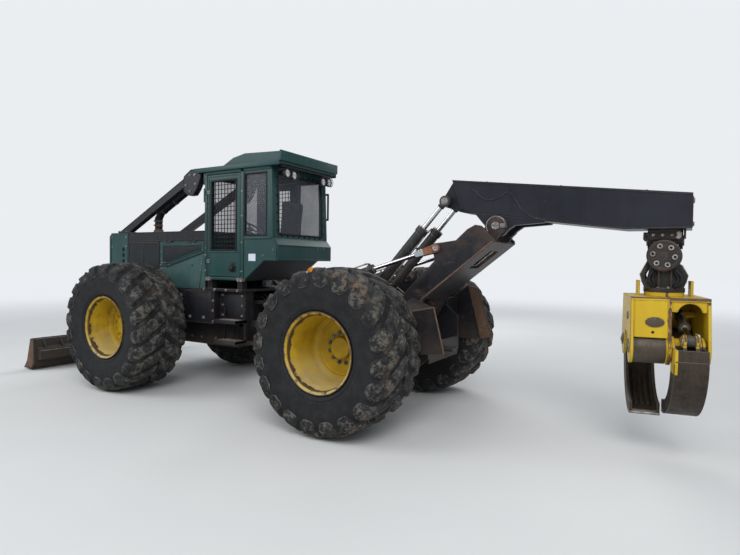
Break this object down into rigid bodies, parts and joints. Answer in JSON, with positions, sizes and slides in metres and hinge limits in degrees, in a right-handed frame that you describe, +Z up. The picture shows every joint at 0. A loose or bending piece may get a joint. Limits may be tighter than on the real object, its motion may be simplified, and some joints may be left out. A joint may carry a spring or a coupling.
{
  "type": "grapple skidder",
  "caption": "Articulated four-wheel grapple skidder with a guarded cab, front blade, swinging arch, long boom and hanging log grapple.",
  "frame": {"origin": "on the ground, at the middle of the machine's overall length and width", "axes": "+X forwards to the blade, +Y to the machine's left, +Z up"},
  "size_m": [9.6358, 3.2, 3.31],
  "materials": {
    "green_paint": "faded satin enamel",
    "black_paint": "dusty satin",
    "black_panel": "satin",
    "worn_black": "worn, rust on the edges",
    "engine_paint": "oily satin",
    "cab_plastic": "matt",
    "glass": "scratched",
    "seat_cover": "woven",
    "lamp_housing": "matt",
    "blade_steel": "worn, rusty",
    "tyre": "worn, dusty",
    "yellow_paint": "chipped gloss",
    "worn_steel": "worn brown steel",
    "cylinder_paint": "dusty satin",
    "rod_chrome": "polished"
  },
  "bodies": {
    "front": {"front_frame": "black_paint", "tow_lug": "black_paint", "side_boxes": "black_paint", "front_axle": "black_paint", "engine": "engine_paint", "radiator_housing": "green_paint", "hood": "black_panel", "side_screens": "black_panel", "side_panels": "green_paint", "limb_risers": "black_paint", "exhaust": "black_paint", "cab_floor": "cab_plastic", "cab_side_left": "green_paint", "cab_side_right": "green_paint", "cab_front": "green_paint", "cab_rear": "green_paint", "cab_roof": "green_paint", "cab_glass": "glass", "cab_controls": "cab_plastic", "seat_pads": "seat_cover", "work_lamps": "lamp_housing", "grab_rail": "black_paint"},
    "rear": {"rear_frame": "black_paint", "drawbar": "black_paint", "rear_axle": "black_paint", "rear_guards": "worn_black"},
    "cab_door_left": {"cab_door_left": "green_paint"},
    "cab_door_right": {"cab_door_right": "green_paint"},
    "engine_door_left": {"engine_door_left": "green_paint"},
    "engine_door_right": {"engine_door_right": "green_paint"},
    "blade_frame": {"blade": "blade_steel"},
    "blade_barrels": {"blade_barrels": "cylinder_paint"},
    "blade_rods": {"blade_rods": "rod_chrome"},
    "arch": {"arch": "worn_black"},
    "arch_barrels": {"arch_barrels": "cylinder_paint"},
    "arch_rods": {"arch_rods": "rod_chrome"},
    "boom": {"boom": "worn_black"},
    "boom_barrels": {"boom_barrels": "cylinder_paint"},
    "boom_rods": {"boom_rods": "rod_chrome"},
    "crosshead": {"crosshead": "worn_black"},
    "yoke": {"yoke": "worn_black"},
    "grapple": {"grapple_head": "yellow_paint"},
    "tong_near": {"tong_near": "worn_steel"},
    "tong_far": {"tong_far": "worn_steel"},
    "tong_barrel_near": {"tong_barrel_near": "cylinder_paint"},
    "tong_rod_near": {"tong_rod_near": "rod_chrome"},
    "tong_barrel_far": {"tong_barrel_far": "cylinder_paint"},
    "tong_rod_far": {"tong_rod_far": "rod_chrome"},
    "steer_barrel_left": {"steer_barrel_left": "cylinder_paint"},
    "steer_rod_left": {"steer_rod_left": "rod_chrome"},
    "wheel_front_left": {"tyre_front_left": "tyre", "rim_front_left": "yellow_paint"},
    "wheel_rear_left": {"tyre_rear_left": "tyre", "rim_rear_left": "yellow_paint"},
    "steer_barrel_right": {"steer_barrel_right": "cylinder_paint"},
    "steer_rod_right": {"steer_rod_right": "rod_chrome"},
    "wheel_front_right": {"tyre_front_right": "tyre", "rim_front_right": "yellow_paint"},
    "wheel_rear_right": {"tyre_rear_right": "tyre", "rim_rear_right": "yellow_paint"}
  },
  "joints": [
    {"name": "articulation", "type": "hinge", "parent": "front", "child": "rear", "pos_m": [0.47787, 0, 0.9], "axis": [0, 0, 1], "range_deg": [-45, 45]},
    {"name": "arch_lift", "type": "hinge", "parent": "rear", "child": "arch", "pos_m": [-1.70213, 0, 1.15], "axis": [0, 1, 0], "range_deg": [-35, 35]},
    {"name": "boom_lift", "type": "hinge", "parent": "arch", "child": "boom", "pos_m": [-2.80213, 0, 2.265], "axis": [0, -1, 0], "range_deg": [-20, 45]},
    {"name": "crosshead_swing", "type": "hinge", "parent": "boom", "child": "crosshead", "pos_m": [-4.41813, 0, 2.1], "axis": [1, 0, 0], "range_deg": [-20, 20]},
    {"name": "yoke_swing", "type": "hinge", "parent": "crosshead", "child": "yoke", "pos_m": [-4.41813, 0, 1.95], "axis": [0, 1, 0], "range_deg": [-35, 35]},
    {"name": "grapple_turn", "type": "hinge", "parent": "yoke", "child": "grapple", "pos_m": [-4.41813, 0, 1.6], "axis": [0, 0, 1], "continuous": true},
    {"name": "tong_near_open", "type": "hinge", "parent": "grapple", "child": "tong_near", "pos_m": [-4.47098, 0.28514, 1.08], "axis": [0.9833, 0.1822, 0], "range_deg": [-8, 65]},
    {"name": "tong_far_open", "type": "hinge", "parent": "grapple", "child": "tong_far", "pos_m": [-4.36528, -0.28514, 1.08], "axis": [-0.9833, -0.1822, 0], "range_deg": [-8, 65]},
    {"name": "cab_door_left_hinge", "type": "hinge", "parent": "front", "child": "cab_door_left", "pos_m": [1.34787, 0.613, 2.3], "axis": [0, 0, -1], "range_deg": [0, 95]},
    {"name": "engine_door_left_hinge", "type": "hinge", "parent": "front", "child": "engine_door_left", "pos_m": [1.84787, 0.585, 2.118], "axis": [1, 0, 0], "range_deg": [0, 75]},
    {"name": "cab_door_right_hinge", "type": "hinge", "parent": "front", "child": "cab_door_right", "pos_m": [1.34787, -0.613, 2.3], "axis": [0, 0, 1], "range_deg": [0, 95]},
    {"name": "engine_door_right_hinge", "type": "hinge", "parent": "front", "child": "engine_door_right", "pos_m": [1.84787, -0.585, 2.118], "axis": [-1, 0, 0], "range_deg": [0, 75]},
    {"name": "blade_lift", "type": "hinge", "parent": "front", "child": "blade_frame", "pos_m": [2.99787, 0, 0.72], "axis": [0, -1, 0], "range_deg": [-8, 28]},
    {"name": "wheel_front_left_spin", "type": "hinge", "parent": "front", "child": "wheel_front_left", "pos_m": [2.30787, 1.2125, 0.9], "axis": [0, 1, 0], "continuous": true},
    {"name": "wheel_front_right_spin", "type": "hinge", "parent": "front", "child": "wheel_front_right", "pos_m": [2.30787, -1.2125, 0.9], "axis": [0, 1, 0], "continuous": true},
    {"name": "wheel_rear_left_spin", "type": "hinge", "parent": "rear", "child": "wheel_rear_left", "pos_m": [-1.35213, 1.2125, 0.9], "axis": [0, 1, 0], "continuous": true},
    {"name": "wheel_rear_right_spin", "type": "hinge", "parent": "rear", "child": "wheel_rear_right", "pos_m": [-1.35213, -1.2125, 0.9], "axis": [0, 1, 0], "continuous": true},
    {"name": "arch_barrel_swing", "type": "hinge", "parent": "rear", "child": "arch_barrels", "pos_m": [-0.35213, 0, 1.472], "axis": [0, 1, 0], "range_deg": [-13.14, 13.14]},
    {"name": "arch_rod_slide", "type": "slide", "parent": "arch_barrels", "child": "arch_rods", "axis": [-0.9574, 0, 0.2886], "range_m": [-0.4243, 0.4243]},
    {"name": "boom_barrel_swing", "type": "hinge", "parent": "arch", "child": "boom_barrels", "pos_m": [-1.24513, 0, 1.5], "axis": [0, -1, 0], "range_deg": [-0.96, 0.71]},
    {"name": "boom_rod_slide", "type": "slide", "parent": "boom_barrels", "child": "boom_rods", "axis": [-0.6625, 0, 0.749], "range_m": [-0.2359, 0.5271]},
    {"name": "blade_barrel_swing", "type": "hinge", "parent": "front", "child": "blade_barrels", "pos_m": [3.20787, 0, 1.25], "axis": [0, -1, 0], "range_deg": [-8.1, 27.11]},
    {"name": "blade_rod_slide", "type": "slide", "parent": "blade_barrels", "child": "blade_rods", "axis": [0.8, 0, -0.6], "range_m": [-0.2782, 0.0816]},
    {"name": "steer_barrel_left_swing", "type": "hinge", "parent": "front", "child": "steer_barrel_left", "pos_m": [1.09787, 0.25, 0.95], "axis": [0, 0, 1], "range_deg": [-15.26, 15.26]},
    {"name": "steer_rod_left_slide", "type": "slide", "parent": "steer_barrel_left", "child": "steer_rod_left", "axis": [-0.9991, 0.0434, 0], "range_m": [-0.2157, 0.2157]},
    {"name": "steer_barrel_right_swing", "type": "hinge", "parent": "front", "child": "steer_barrel_right", "pos_m": [1.09787, -0.25, 0.95], "axis": [0, 0, 1], "range_deg": [-15.26, 15.26]},
    {"name": "steer_rod_right_slide", "type": "slide", "parent": "steer_barrel_right", "child": "steer_rod_right", "axis": [-0.9991, -0.0434, 0], "range_m": [-0.2157, 0.2157]},
    {"name": "tong_barrel_near_swing", "type": "hinge", "parent": "grapple", "child": "tong_barrel_near", "pos_m": [-4.39079, -0.14749, 1.37], "axis": [0.9833, 0.1822, 0], "range_deg": [-1.43, 8.09]},
    {"name": "tong_rod_near_slide", "type": "slide", "parent": "tong_barrel_near", "child": "tong_rod_near", "axis": [-0.174, 0.9388, -0.2974], "range_m": [-0.2048, 0.0278]},
    {"name": "tong_barrel_far_swing", "type": "hinge", "parent": "grapple", "child": "tong_barrel_far", "pos_m": [-4.44546, 0.14749, 1.37], "axis": [-0.9833, -0.1822, 0], "range_deg": [-1.43, 8.09]},
    {"name": "tong_rod_far_slide", "type": "slide", "parent": "tong_barrel_far", "child": "tong_rod_far", "axis": [0.174, -0.9388, -0.2974], "range_m": [-0.2048, 0.0278]}
  ],
  "couplings": [
    {"joint": "arch_barrel_swing", "follows": "arch_lift", "ratio": 0.3612},
    {"joint": "arch_rod_slide", "follows": "arch_lift", "m_per_rad": -0.6897},
    {"joint": "boom_barrel_swing", "follows": "boom_lift", "ratio": -0.0103},
    {"joint": "boom_rod_slide", "follows": "boom_lift", "m_per_rad": 0.6673},
    {"joint": "blade_barrel_swing", "follows": "blade_lift", "ratio": 0.9502},
    {"joint": "blade_rod_slide", "follows": "blade_lift", "m_per_rad": -0.5632},
    {"joint": "steer_barrel_left_swing", "follows": "articulation", "ratio": 0.328},
    {"joint": "steer_rod_left_slide", "follows": "articulation", "m_per_rad": 0.2708},
    {"joint": "steer_barrel_right_swing", "follows": "articulation", "ratio": 0.328},
    {"joint": "steer_rod_right_slide", "follows": "articulation", "m_per_rad": -0.2708},
    {"joint": "tong_barrel_near_swing", "follows": "tong_near_open", "ratio": 0.1167},
    {"joint": "tong_rod_near_slide", "follows": "tong_near_open", "m_per_rad": -0.1779},
    {"joint": "tong_barrel_far_swing", "follows": "tong_far_open", "ratio": 0.1167},
    {"joint": "tong_rod_far_slide", "follows": "tong_far_open", "m_per_rad": -0.1779}
  ]
}
